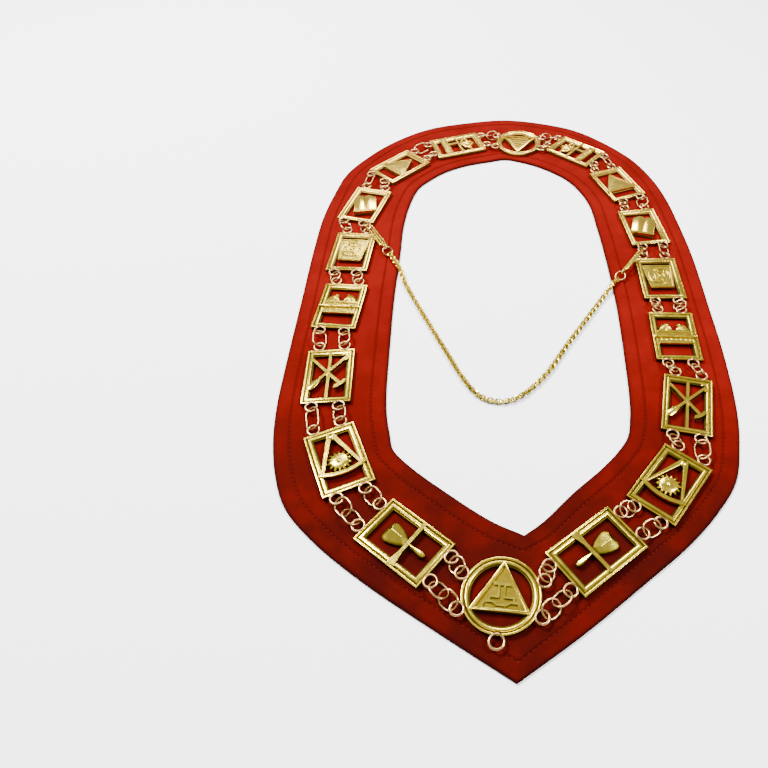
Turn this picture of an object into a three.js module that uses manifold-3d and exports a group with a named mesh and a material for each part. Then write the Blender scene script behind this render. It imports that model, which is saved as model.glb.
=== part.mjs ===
import * as THREE from 'three';
import { mergeVertices } from 'three/addons/utils/BufferGeometryUtils.js';
import Module from 'manifold-3d';

const wasm = await Module();
wasm.setup();

// Sizes of the cloth, in millimetres.
const COLLAR_WIDTH = 370;
const COLLAR_LENGTH = 654;
const BAND_WIDTH = 84;
const CLOTH_THICKNESS = 2.5;
const EDGE_ROUND = 1.2;

// Sizes of the plates and medallions.
const PLATE_WIDTH = 38;
const PLATE_LENGTH = 56;
const PLATE_THICKNESS = 3.6;
const FRAME_WIDTH = 6;
const MEDALLION_DIAMETER = 50.7;
const TRIANGLE_BORDER = 1.5;
const TRIANGLE_INSET = 0.55;
const FIELD_DEPTH = 0.6;
const RELIEF_HEIGHT = 0.8;
const RELIEF_BED = 1.2;

// Sizes of the eyelets, rings, hooks and chain.
const EYELET_DIAMETER = 8.6;
const EYELET_WIRE = 1.7;
const EYELET_SPACING = 20.6;
const EYELET_REACH = 4;
const EYELET_SINK = 0.25;
const MEDALLION_EYELET_REACH = 3.4;
const MEDALLION_EYELET_ANGLE = 24;
const JEWEL_LOOP_DIAMETER = 9.2;
const JEWEL_LOOP_REACH = 3.6;
const RING_DIAMETER = 11;
const RING_WIRE = 1.4;
const RING_NIP = 0.4;
const RING_SLACK = 1.2;
const HOOK_WIDTH = 6.8;
const HOOK_WIRE = 1.8;
const HOOK_EYE_DIAMETER = 4.6;
const HOOK_EYE_WIRE = 1.2;
const END_RING_DIAMETER = 9;
const END_RING_WIRE = 1.4;
const END_RING_SEAT = 0.6;
const CHAIN_DIAMETER = 4.3;
const CLEARANCE = 0.3;

// Facets of the round pieces.
const RING_SIDES = 10;
const WIRE_SIDES = 5;
const EYELET_SIDES = 8;
const EYELET_WIRE_SIDES = 4;
const MEDALLION_SIDES = 18;
const CHAIN_SIDES = 8;
const CHAIN_STEP = 12;
const ARC_STEP = 36;
const STEPS_PER_SECTION = 2;
const MERGE_DISTANCE = 1e-4;

// Right half of the band from the front tip to the neck. side and along place the outer edge as
// shares of the half width and half length, across is the section's direction in degrees,
// width a share of the band's width and lean the sideways shift of both halves.
const BAND_SECTIONS = [
  { side: 0, along: -1, across: 90, width: 1.07, lean: 0.05 },
  { side: 0.243, along: -0.922, across: 110, width: 0.98, lean: 0.035 },
  { side: 0.486, along: -0.827, across: 123, width: 0.985, lean: 0.008 },
  { side: 0.676, along: -0.743, across: 133, width: 1, lean: 0 },
  { side: 0.805, along: -0.664, across: 142.5, width: 1, lean: 0 },
  { side: 0.889, along: -0.581, across: 153, width: 1.005, lean: 0.016 },
  { side: 0.938, along: -0.483, across: 163, width: 1, lean: 0.018 },
  { side: 0.966, along: -0.385, across: 172, width: 1, lean: 0.02 },
  { side: 0.982, along: -0.214, across: 178.5, width: 1, lean: 0.019 },
  { side: 0.987, along: 0, across: 180, width: 0.99, lean: 0.009 },
  { side: 0.99, along: 0.214, across: 183, width: 1.01, lean: -0.004 },
  { side: 0.978, along: 0.373, across: 187, width: 1.005, lean: -0.018 },
  { side: 0.951, along: 0.505, across: 190, width: 1, lean: -0.022 },
  { side: 0.905, along: 0.621, across: 197, width: 1.025, lean: -0.03 },
  { side: 0.811, along: 0.731, across: 210, width: 1.045, lean: -0.024 },
  { side: 0.664, along: 0.838, across: 226, width: 1.07, lean: -0.024 },
  { side: 0.476, along: 0.927, across: 239, width: 1.11, lean: -0.015 },
  { side: 0.243, along: 0.977, across: 254, width: 1.09, lean: 0.005 },
  { side: 0, along: 1, across: 270, width: 1.07, lean: 0.005 },
];

// The plates up the left side and down the right: centre as shares of the half width and half
// length, and turn in degrees of the end that points to the neck.
const PLATES = [
  { name: 'trowel_plate_left', emblem: 'trowel', side: -0.3437, along: -0.7349, turn: 53 },
  { name: 'compass_plate_left', emblem: 'compass', side: -0.6349, along: -0.5374, turn: 25 },
  { name: 'tools_plate_left', emblem: 'tools', side: -0.7506, along: -0.2939, turn: 5 },
  { name: 'ark_plate_left', emblem: 'ark', side: -0.7752, along: -0.0429, turn: -3 },
  { name: 'keystone_plate_left', emblem: 'keystone', side: -0.7837, along: 0.1906, turn: -2 },
  { name: 'book_plate_left', emblem: 'book', side: -0.7746, along: 0.4271, turn: -13 },
  { name: 'triangle_plate_left', emblem: 'triangle', side: -0.623, along: 0.6527, turn: -41.7 },
  { name: 'sun_plate_left', emblem: 'sun', side: -0.2904, along: 0.7953, turn: -69 },
  { name: 'sun_plate_right', emblem: 'sun', side: 0.4396, along: 0.7637, turn: 52 },
  { name: 'triangle_plate_right', emblem: 'triangle', side: 0.6583, along: 0.5625, turn: 23 },
  { name: 'book_plate_right', emblem: 'book', side: 0.7557, along: 0.3284, turn: 9 },
  { name: 'keystone_plate_right', emblem: 'keystone', side: 0.7824, along: 0.0871, turn: 1.9 },
  { name: 'ark_plate_right', emblem: 'ark', side: 0.7893, along: -0.1425, turn: -0.8 },
  { name: 'tools_plate_right', emblem: 'tools', side: 0.7757, along: -0.3718, turn: -11.2 },
  { name: 'compass_plate_right', emblem: 'compass', side: 0.6399, along: -0.5905, turn: -37.2 },
  { name: 'trowel_plate_right', emblem: 'trowel', side: 0.3376, along: -0.7484, turn: -51.6 },
];
const MEDALLIONS = [
  { name: 'front_medallion', side: 0.0022, along: -0.8437, turn: -5.2, jewelLoop: true },
  { name: 'top_medallion', side: 0.0897, along: 0.818, turn: 176.1, jewelLoop: false },
];

// Rings in the outer strand of each gap, from the front medallion up the left side and down the
// right. The inner strands have one ring each.
const OUTER_RINGS = [2, 2, 1, 1, 1, 1, 1, 1, 2, 2, 1, 1, 1, 1, 1, 1, 1, 2];

// Frame's section from the outer edge to the window, as shares of its width and thickness.
const FRAME_PROFILE = [
  { inset: 0, height: 0 },
  { inset: 0, height: 1 },
  { inset: 0.2, height: 1 },
  { inset: 0.32, height: 0.6 },
  { inset: 0.46, height: 0.93 },
  { inset: 1, height: 0.8 },
  { inset: 1, height: 0 },
];

// The hooks of the chest chain, each in the inner ring between the keystone and book plates: the
// hooked end and the tail as steps from that ring's centre, and the hook's roll in degrees.
const HOOKS = [
  { side: 'left', gap: '06', hooked: [2.4, 2.2, 1], tail: [22.4, -30.5, 1.1], roll: -24 },
  { side: 'right', gap: '13', hooked: [-1.3, 0.6, 1.6], tail: [-21.5, -30.5, 1.2], roll: 49 },
];

// The chest chain's chosen route over the cloth's inner edges and along the floor. Its two ends
// follow the end rings.
const CHAIN_ROUTE = [
  [-104.5, 53.5, 4.95],
  [-97.5, 41, 4.95],
  [-91, 23, 2.8],
  [-83, 6, 2.3],
  [-68, -24, 2.2],
  [-48.5, -62, 2.2],
  [-28, -100, 2.2],
  [-15, -114.5, 2.2],
  [0, -118, 2.2],
  [14, -112.5, 2.2],
  [34.5, -90, 2.2],
  [56, -53, 2.2],
  [84, -6, 2.3],
  [92.5, 8, 2.8],
  [99.5, 19, 4.95],
];

// The emblems' pieces. Places are shares of the half width and half length of a plate's window,
// with x to the collar's outer edge and y to the neck. Widths are shares of the frame's width,
// and rise is the top's height over the frame as a share of the relief's height.
const BARS = [
  { emblem: 'trowel', from: [-1.32, -0.14], to: [-0.6, -0.14], width: 0.83, endWidth: 0.4, rise: 1 },
  { emblem: 'trowel', from: [-0.7, -0.14], to: [1.32, -0.12], width: 0.38, endWidth: 0.4, rise: 1 },
  { emblem: 'compass', from: [0, 1.06], to: [-1.02, -0.38], width: 0.6, endWidth: 0.36, rise: 1 },
  { emblem: 'compass', from: [0, 1.06], to: [1.02, -0.38], width: 0.6, endWidth: 0.36, rise: 1 },
  { emblem: 'tools', from: [0.03, 1.1], to: [0.03, -1.1], width: 0.32, endWidth: 0.32, rise: 0 },
  { emblem: 'tools', from: [-1.08, 0.88], to: [0.7, -0.26], width: 0.3, endWidth: 0.42, rise: 1 },
  { emblem: 'tools', from: [1, 0.88], to: [-0.48, -0.06], width: 0.32, endWidth: 0.32, rise: 1.5 },
  { emblem: 'ark', from: [-1.32, -0.1], to: [1.32, -0.1], width: 0.27, endWidth: 0.27, rise: 1.75 },
  { emblem: 'sun', from: [-1.32, -0.61], to: [1.32, -0.61], width: 1.25, endWidth: 1.25, rise: 1 },
  { emblem: 'sun', from: [-1.32, 0.06], to: [1.32, 0.06], width: 0.4, endWidth: 0.4, rise: 1 },
  { emblem: 'sun', from: [0.28, -0.55], to: [0.28, 0.04], width: 0.5, endWidth: 0.5, rise: 0 },
  { emblem: 'sun', from: [-1.32, 0.56], to: [1.32, 0.56], width: 0.5, endWidth: 0.5, rise: 0 },
  { emblem: 'cross', from: [0, 0.38], to: [0, -0.11], width: 0.5, endWidth: 0.5, rise: 0 },
  { emblem: 'cross', from: [-0.38, 0.36], to: [0.38, 0.36], width: 0.33, endWidth: 0.33, rise: 0 },
  { emblem: 'cross', from: [-0.7, -0.1], to: [0.7, -0.1], width: 0.33, endWidth: 0.33, rise: 0 },
  { emblem: 'cross', from: [-0.34, -0.08], to: [-0.34, -0.38], width: 0.4, endWidth: 0.4, rise: 0 },
  { emblem: 'cross', from: [0.34, -0.08], to: [0.34, -0.38], width: 0.4, endWidth: 0.4, rise: 0 },
];
const ARCS = [
  { emblem: 'compass', centre: [0, 1.1], radius: 2.87, width: 0.5, from: 243, to: 297, rise: 1 },
  { emblem: 'tools', centre: [0.07, 0.09], radius: 1.01, width: 0.33, from: -78, to: -20, rise: 1 },
  { emblem: 'sun', centre: [0, 0.68], radius: 0.81, width: 0.33, from: 200, to: 340, rise: 1 },
];
const STARS = [
  { emblem: 'compass', centre: [0, -0.11], tip: 0.74, notch: 0.58, points: 8, rise: 0.6 },
  { emblem: 'sun', centre: [0, 0.51], tip: 0.49, notch: 0.35, points: 6, rise: 1.5 },
  { emblem: 'keystone', centre: [0, 0.03], tip: 0.77, notch: 0.7, points: 6, rise: 0.6 },
];
const OUTLINES = [
  {
    emblem: 'tools', rise: 1, turn: 0,
    points: [[-0.24, -0.06], [-0.9, -0.56], [-1.2, -0.42], [-0.53, 0.08]],
  },
  { emblem: 'ark', rise: 1, turn: 0, points: [[-1.1, 0.2], [-1.1, -0.47], [1.1, -0.47], [1.1, 0.2]] },
  {
    emblem: 'ark', rise: 1, turn: 0,
    points: [[0.12, 0.15], [0.18, 0.5], [0.32, 0.72], [0.56, 0.66], [0.8, 0.36], [0.84, 0.15]],
  },
  {
    emblem: 'ark', rise: 1, turn: 0,
    points: [[-0.12, 0.15], [-0.18, 0.5], [-0.32, 0.72], [-0.56, 0.66], [-0.8, 0.36], [-0.84, 0.15]],
  },
  {
    emblem: 'keystone', rise: 0, turn: 0,
    points: [[-1.14, 0.8], [-0.9, -0.68], [0.9, -0.68], [1.14, 0.8]],
  },
  {
    emblem: 'book', rise: 1, turn: -22,
    points: [[-0.85, -0.62], [0.85, -0.62], [0.85, 0.54], [0.46, 0.66], [0, 0.54], [-0.46, 0.66], [-0.85, 0.54]],
  },
  {
    emblem: 'book', rise: 2, turn: -22,
    points: [[-0.88, -0.65], [0.88, -0.65], [0.88, -0.52], [-0.88, -0.52]],
  },
];
const BOSSES = [
  {
    emblem: 'trowel', shoulder: 0.61, shrink: 0.1, peak: 0.36, rise: 2.25,
    points: [
      [0.24, -0.08], [0.44, 0.12], [0.6, 0.4], [0.56, 0.6], [0.46, 0.66],
      [-0.46, 0.66], [-0.56, 0.6], [-0.6, 0.4], [-0.44, 0.12], [-0.24, -0.08],
    ],
  },
  {
    emblem: 'trowel', shoulder: 0.83, shrink: 0.3, peak: -0.68, rise: 1,
    points: [[0.06, -0.1], [-0.06, -0.1], [-0.21, -0.66], [-0.15, -0.83], [0.15, -0.83], [0.21, -0.66]],
  },
  {
    emblem: 'triangle', shoulder: 1.11, shrink: 0.08, peak: -0.1, rise: 1.5,
    points: [[0, 0.78], [-1.32, -0.54], [1.32, -0.54]],
  },
];
const BOOK_FOLD = { width: 0.06, from: -0.52, to: 0.63, turn: -22 };
const ONE_HANDED = ['tools', 'trowel'];

const HALF_WIDTH = COLLAR_WIDTH / 2;
const HALF_LENGTH = COLLAR_LENGTH / 2;
const PLATE_BASE = CLOTH_THICKNESS + CLEARANCE;
const EYELET_HEIGHT = PLATE_THICKNESS - EYELET_SINK;
const EYELET_LEVEL = PLATE_BASE + EYELET_HEIGHT;
const RELIEF_TOP = PLATE_THICKNESS + RELIEF_HEIGHT;
const FIELD_TOP = PLATE_THICKNESS - FIELD_DEPTH;
const WINDOW_X = PLATE_WIDTH / 2 - FRAME_WIDTH;
const WINDOW_Y = PLATE_LENGTH / 2 - FRAME_WIDTH;
const LOW_SIDE_DROP = EYELET_LEVEL - PLATE_BASE - RING_WIRE / 2;
const RING_TILT = Math.asin(LOW_SIDE_DROP / (RING_DIAMETER / 2));
const EYELET_BORE = EYELET_DIAMETER * Math.cos(Math.PI / EYELET_SIDES) - EYELET_WIRE;
const RING_PLAY = (EYELET_BORE - RING_WIRE) / 2 - RING_SLACK;

const UP = new THREE.Vector3(0, 0, 1);
const radians = THREE.MathUtils.degToRad;
const flat = (x, y, z = 0) => new THREE.Vector3(x, y, z);
const polar = (radius, angle) => flat(radius * Math.cos(angle), radius * Math.sin(angle));

const materials = {
  velvet: new THREE.MeshStandardMaterial({ color: 0xa5160e, roughness: 0.9, metalness: 0 }),
  gilt: new THREE.MeshStandardMaterial({ color: 0xd9b858, roughness: 0.28, metalness: 1 }),
  roseGilt: new THREE.MeshStandardMaterial({ color: 0xe0b08a, roughness: 0.3, metalness: 1 }),
};

const collar = new THREE.Group();

function addMesh(name, geometry, material) {
  const mesh = new THREE.Mesh(geometry, material);
  mesh.name = name;
  collar.add(mesh);
  return mesh;
}

// Signed volume of a closed triangle mesh, negative when its faces point inwards.
function signedVolume(points, faces) {
  let volume = 0;
  for (const [a, b, c] of faces) {
    volume += points[a].dot(flat(0, 0).crossVectors(points[b], points[c])) / 6;
  }
  return volume;
}

function meshFrom(points, faces) {
  const outward = signedVolume(points, faces) > 0;
  const index = faces.flatMap(([a, b, c]) => (outward ? [a, b, c] : [a, c, b]));
  const geometry = new THREE.BufferGeometry().setFromPoints(points);
  geometry.setIndex(index);
  return geometry;
}

// Joins sections of equally many points into a ring that closes on itself.
function loftRing(sections) {
  const size = sections[0].length;
  const faces = [];
  sections.forEach((_, i) => {
    const next = (i + 1) % sections.length;
    for (let j = 0; j < size; j += 1) {
      const k = (j + 1) % size;
      const corners = [i * size + j, next * size + j, next * size + k, i * size + k];
      faces.push([corners[0], corners[1], corners[2]], [corners[0], corners[2], corners[3]]);
    }
  });
  return meshFrom(sections.flat(), faces);
}

// A faceted boss: an outline at its foot, the same outline shrunk at its shoulder, and a peak.
function facetedBoss(outline, foot, shoulder, shrink, peak) {
  const count = outline.length;
  const centre = flat(peak.x, peak.y);
  const low = outline.map(([x, y]) => flat(x, y, foot));
  const mid = outline.map(([x, y]) => flat(x, y).lerp(centre, shrink).setZ(shoulder));
  const points = [...low, ...mid, peak.clone(), centre.clone().setZ(foot)];
  const faces = [];
  for (let i = 0; i < count; i += 1) {
    const j = (i + 1) % count;
    faces.push([i, j, count + j], [i, count + j, count + i]);
    faces.push([count + i, count + j, 2 * count], [j, i, 2 * count + 1]);
  }
  return meshFrom(points, faces);
}

function prism(outline, bottom, top) {
  const shape = new THREE.Shape(outline.map(([x, y]) => new THREE.Vector2(x, y)));
  const geometry = new THREE.ExtrudeGeometry(shape, { depth: top - bottom, bevelEnabled: false });
  return geometry.translate(0, 0, bottom);
}

// A straight bar between two points, with its width at each end.
function taperedBar(from, to, widthFrom, widthTo, bottom, top) {
  const along = new THREE.Vector2(to[0] - from[0], to[1] - from[1]).normalize();
  const side = new THREE.Vector2(-along.y, along.x);
  const corner = (point, offset) => [point[0] + side.x * offset, point[1] + side.y * offset];
  const outline = [
    corner(from, -widthFrom / 2),
    corner(to, -widthTo / 2),
    corner(to, widthTo / 2),
    corner(from, widthFrom / 2),
  ];
  return prism(outline, bottom, top);
}

// A band along an arc, from one angle to another in degrees.
function arcBand(centre, radius, width, from, to, bottom, top) {
  const steps = Math.ceil((to - from) / ARC_STEP);
  const point = (r, i) => {
    const angle = radians(from + ((to - from) * i) / steps);
    return [centre[0] + r * Math.cos(angle), centre[1] + r * Math.sin(angle)];
  };
  const outer = Array.from({ length: steps + 1 }, (_, i) => point(radius + width / 2, i));
  const inner = Array.from({ length: steps + 1 }, (_, i) => point(radius - width / 2, i));
  return prism([...outer, ...inner.reverse()], bottom, top);
}

function starOutline(centre, tip, notch, points) {
  return Array.from({ length: 2 * points }, (_, i) => {
    const radius = i % 2 ? notch : tip;
    const spot = polar(radius, (Math.PI * i) / points);
    return [centre[0] + spot.x, centre[1] + spot.y];
  });
}

function wireRing(diameter, wire) {
  return new THREE.TorusGeometry(diameter / 2, wire / 2, WIRE_SIDES, RING_SIDES);
}

// A wire ring drawn out along X until its centreline has the given length.
function longRing(length, diameter, wire) {
  const geometry = wireRing(diameter, wire);
  const position = geometry.getAttribute('position');
  const stretch = (length - diameter) / 2;
  for (let i = 0; i < position.count; i += 1) {
    position.setX(i, position.getX(i) + Math.sign(position.getX(i)) * stretch);
  }
  return geometry;
}

function toSolid(geometry) {
  const plain = geometry.clone();
  plain.deleteAttribute('normal');
  plain.deleteAttribute('uv');
  const merged = mergeVertices(plain, MERGE_DISTANCE);
  const vertProperties = new Float32Array(merged.getAttribute('position').array);
  const triVerts = new Uint32Array(merged.getIndex().array);
  return new wasm.Manifold(new wasm.Mesh({ numProp: 3, vertProperties, triVerts }));
}

function toGeometry(solid) {
  const mesh = solid.getMesh();
  const geometry = new THREE.BufferGeometry();
  geometry.setAttribute('position', new THREE.BufferAttribute(mesh.vertProperties, 3));
  geometry.setIndex(new THREE.BufferAttribute(mesh.triVerts, 1));
  return geometry;
}

function fuse(geometries, cuts = []) {
  const joined = geometries.map(toSolid).reduce((whole, piece) => whole.add(piece));
  return toGeometry(cuts.map(toSolid).reduce((whole, piece) => whole.subtract(piece), joined));
}

// The band's outer and inner edges, as matching points at the sections.
function bandEdges() {
  const place = (row, mirror) => {
    const angle = radians(row.across);
    const shift = row.lean * HALF_WIDTH;
    const outer = flat(row.side * HALF_WIDTH, row.along * HALF_LENGTH);
    const inner = outer.clone().addScaledVector(polar(1, angle), row.width * BAND_WIDTH);
    return [outer, inner].map((point) => flat(mirror * point.x + shift, point.y));
  };
  const right = BAND_SECTIONS.map((row) => place(row, 1));
  const left = BAND_SECTIONS.slice(0, -1).reverse().map((row) => place(row, -1));
  return [...right, ...left];
}

function bandGeometry() {
  const edges = bandEdges();
  const curves = [0, 1].map((k) => {
    const points = edges.map((pair) => pair[k]);
    return new THREE.CatmullRomCurve3(points, false, 'centripetal');
  });
  const count = (edges.length - 1) * STEPS_PER_SECTION;
  const half = CLOTH_THICKNESS / 2;
  const sections = Array.from({ length: count }, (_, i) => {
    const [outer, inner] = curves.map((curve) => curve.getPoint(i / count));
    const across = inner.clone().sub(outer).normalize();
    const at = (point, inset, height) => point.clone().addScaledVector(across, inset).setZ(height);
    return [
      at(outer, EDGE_ROUND, 0),
      at(outer, 0, half),
      at(outer, EDGE_ROUND, CLOTH_THICKNESS),
      at(inner, -EDGE_ROUND, CLOTH_THICKNESS),
      at(inner, 0, half),
      at(inner, -EDGE_ROUND, 0),
    ];
  });
  return loftRing(sections);
}

function plateFrame() {
  const corners = [[-1, -1], [1, -1], [1, 1], [-1, 1]];
  return loftRing(corners.map(([x, y]) => FRAME_PROFILE.map((row) => {
    const inset = row.inset * FRAME_WIDTH;
    const cornerX = x * (PLATE_WIDTH / 2 - inset);
    const cornerY = y * (PLATE_LENGTH / 2 - inset);
    return flat(cornerX, cornerY, row.height * PLATE_THICKNESS);
  })));
}

function medallionFrame() {
  const outline = FRAME_PROFILE.map((row) => {
    const radius = MEDALLION_DIAMETER / 2 - row.inset * FRAME_WIDTH;
    return new THREE.Vector2(radius, row.height * PLATE_THICKNESS);
  });
  return new THREE.LatheGeometry([...outline, outline[0]], MEDALLION_SIDES).rotateX(Math.PI / 2);
}

// One emblem's pieces in the plate's own frame. The outer value is -1 or 1 for the side of the
// plate that lies to the collar's outer edge. One-handed emblems aren't mirrored.
function emblemPieces(emblem, outer) {
  const flip = ONE_HANDED.includes(emblem) ? 1 : outer;
  const own = (rows) => rows.filter((row) => row.emblem === emblem);
  const top = (row) => PLATE_THICKNESS + row.rise * RELIEF_HEIGHT;
  const place = ([x, y], turn = 0) => {
    const spot = flat(x * WINDOW_X, y * WINDOW_Y).applyAxisAngle(UP, radians(turn));
    return [flip * spot.x, spot.y];
  };
  const bars = own(BARS).map((row) => {
    const [width, endWidth] = [row.width * FRAME_WIDTH, row.endWidth * FRAME_WIDTH];
    return taperedBar(place(row.from), place(row.to), width, endWidth, RELIEF_BED, top(row));
  });
  const arcs = own(ARCS).map((row) => {
    const [radius, width] = [row.radius * WINDOW_X, row.width * FRAME_WIDTH];
    return arcBand(place(row.centre), radius, width, row.from, row.to, RELIEF_BED, top(row));
  });
  const stars = own(STARS).map((row) => {
    const [tip, notch] = [row.tip * WINDOW_X, row.notch * WINDOW_X];
    return prism(starOutline(place(row.centre), tip, notch, row.points), RELIEF_BED, top(row));
  });
  const outlines = own(OUTLINES).map((row) => {
    return prism(row.points.map((point) => place(point, row.turn)), RELIEF_BED, top(row));
  });
  const bosses = own(BOSSES).map((row) => {
    const peak = flat(0, row.peak * WINDOW_Y, top(row));
    const outline = row.points.map((point) => place(point));
    return facetedBoss(outline, RELIEF_BED, row.shoulder * PLATE_THICKNESS, row.shrink, peak);
  });
  return [...bars, ...arcs, ...stars, ...outlines, ...bosses];
}

// The book's middle fold, cut from above.
function bookFold(outer) {
  const { width, from, to, turn } = BOOK_FOLD;
  const ends = [from, to].map((y) => [0, y * WINDOW_Y]);
  const thick = width * WINDOW_X;
  const fold = taperedBar(ends[0], ends[1], thick, thick, PLATE_THICKNESS, 2 * PLATE_THICKNESS);
  return fold.rotateZ(outer * radians(turn));
}

// Eyelet centres in a plate's own frame: end is 1 to the neck and -1 to the front.
function plateEyelet(side, end) {
  return flat((side * EYELET_SPACING) / 2, end * (PLATE_LENGTH / 2 + EYELET_REACH), EYELET_HEIGHT);
}

// Eyelet centres in a medallion's own frame: inner ones lie on the +Y half.
function medallionEyelet(side, inner) {
  const angle = radians(MEDALLION_EYELET_ANGLE) * inner;
  const spot = polar(MEDALLION_DIAMETER / 2 + MEDALLION_EYELET_REACH, angle);
  return flat(side * spot.x, spot.y, EYELET_HEIGHT);
}

function eyeletAt(centre, diameter = EYELET_DIAMETER, wire = EYELET_WIRE) {
  const ring = new THREE.TorusGeometry(diameter / 2, wire / 2, EYELET_WIRE_SIDES, EYELET_SIDES);
  return ring.translate(centre.x, centre.y, centre.z);
}

function plateGeometry(emblem, outer) {
  const eyelets = [-1, 1].flatMap((side) => [-1, 1].map((end) => eyeletAt(plateEyelet(side, end))));
  const cuts = emblem === 'book' ? [bookFold(outer)] : [];
  return fuse([plateFrame(), ...emblemPieces(emblem, outer), ...eyelets], cuts);
}

// A raised border round a lower field that carries the cross.
function medallionTriangle() {
  const radius = MEDALLION_DIAMETER / 2 - TRIANGLE_INSET * FRAME_WIDTH;
  const corners = (r) => [90, 210, 330].map((degrees) => {
    const spot = polar(r, radians(degrees));
    return [spot.x, spot.y];
  });
  const bed = prism(corners(radius), RELIEF_BED, FIELD_TOP);
  const border = toSolid(prism(corners(radius), RELIEF_BED, RELIEF_TOP));
  const field = toSolid(prism(corners(radius - 2 * TRIANGLE_BORDER), FIELD_TOP, 2 * RELIEF_TOP));
  return [bed, toGeometry(border.subtract(field)), ...emblemPieces('cross', 1)];
}

function medallionGeometry(withLoop) {
  const eyelets = [-1, 1].flatMap((side) => [-1, 1].map((inner) => eyeletAt(medallionEyelet(side, inner))));
  if (withLoop) {
    const spot = flat(0, -MEDALLION_DIAMETER / 2 - JEWEL_LOOP_REACH, EYELET_HEIGHT);
    eyelets.push(eyeletAt(spot, JEWEL_LOOP_DIAMETER));
  }
  return fuse([medallionFrame(), ...medallionTriangle(), ...eyelets]);
}

function placeOnCollar(mesh, row) {
  mesh.position.set(row.side * HALF_WIDTH, row.along * HALF_LENGTH, PLATE_BASE);
  mesh.rotation.z = radians(row.turn);
  mesh.updateMatrixWorld(true);
}

const outerSide = (row) => Math.sign(row.side);

addMesh('velvet_band', bandGeometry(), materials.velvet);

const pieces = {};
for (const row of PLATES) {
  pieces[row.name] = addMesh(row.name, plateGeometry(row.emblem, outerSide(row)), materials.gilt);
  placeOnCollar(pieces[row.name], row);
}
for (const row of MEDALLIONS) {
  pieces[row.name] = addMesh(row.name, medallionGeometry(row.jewelLoop), materials.gilt);
  placeOnCollar(pieces[row.name], row);
}

// World place of the eyelet that a gap's strand starts or ends at.
function strandEnd(row, neighbour, inner) {
  const local = row.emblem
    ? plateEyelet(-inner * outerSide(row), facesNeck(row, neighbour) ? 1 : -1)
    : medallionEyelet(sideTowards(row, neighbour), inner);
  return pieces[row.name].localToWorld(local);
}

function facesNeck(row, neighbour) {
  return neighbour.along > row.along;
}

function sideTowards(row, neighbour) {
  const toLeft = neighbour.side < row.side;
  const upright = Math.cos(radians(row.turn)) > 0;
  return toLeft === upright ? -1 : 1;
}

// Places a flat ring so that its X axis and its Y axis lie along two directions.
function aimed(geometry, centre, xAxis, yAxis) {
  const normal = xAxis.clone().cross(yAxis).normalize();
  const basis = new THREE.Matrix4().makeBasis(xAxis, yAxis, normal);
  return geometry.applyMatrix4(basis.setPosition(centre));
}

// The two directions square to a line: one level, and one that points up.
function squareTo(line) {
  const level = UP.clone().cross(line).normalize();
  return { level, upward: line.clone().cross(level) };
}

function turnedBetween(level, upward, angle) {
  return level.clone().multiplyScalar(Math.cos(angle)).addScaledVector(upward, Math.sin(angle));
}

// Rings of one strand between two eyelets, each tilted about the strand's own line so that it
// passes over one side of the wire that it holds and under the other. Two rings touch where
// they hold each other.
function strandRings(start, end, count, lean) {
  const reach = end.clone().sub(start);
  const distance = reach.length();
  const overlap = RING_WIRE - RING_NIP;
  const taut = (distance - 2 * RING_PLAY + (count - 1) * overlap) / count;
  const length = Math.max(RING_DIAMETER, taut);
  const spare = count === 1 ? (length - distance) / 2 : length - (distance + overlap) / 2;
  const along = reach.normalize();
  const { level, upward } = squareTo(along);
  return Array.from({ length: count }, (_, i) => {
    const side = i === 0 ? 1 : -1;
    const centre = (side > 0 ? start : end).clone().addScaledVector(along, side * (length / 2 - spare));
    const tilt = lean * side * RING_TILT;
    const ring = longRing(length, RING_DIAMETER, RING_WIRE);
    return aimed(ring, centre, along, turnedBetween(level, upward, tilt));
  });
}

// The gaps in order, each with the two rows it lies between.
const leftPlates = PLATES.filter((row) => row.side < 0);
const rightPlates = PLATES.filter((row) => row.side > 0);
const loop = [MEDALLIONS[0], ...leftPlates, MEDALLIONS[1], ...rightPlates];

const ringCentres = {};
loop.forEach((row, i) => {
  const next = loop[(i + 1) % loop.length];
  const gap = String(i + 1).padStart(2, '0');
  const kinds = [
    { label: 'inner', inner: 1, count: 1, lean: -1 },
    { label: 'outer', inner: -1, count: OUTER_RINGS[i], lean: i % 2 ? 1 : -1 },
  ];
  kinds.forEach((kind) => {
    const start = strandEnd(row, next, kind.inner);
    const end = strandEnd(next, row, kind.inner);
    const name = `link_${gap}_${kind.label}`;
    ringCentres[name] = start.clone().lerp(end, 0.5);
    addMesh(name, fuse(strandRings(start, end, kind.count, kind.lean)), materials.roseGilt);
  });
});

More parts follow.
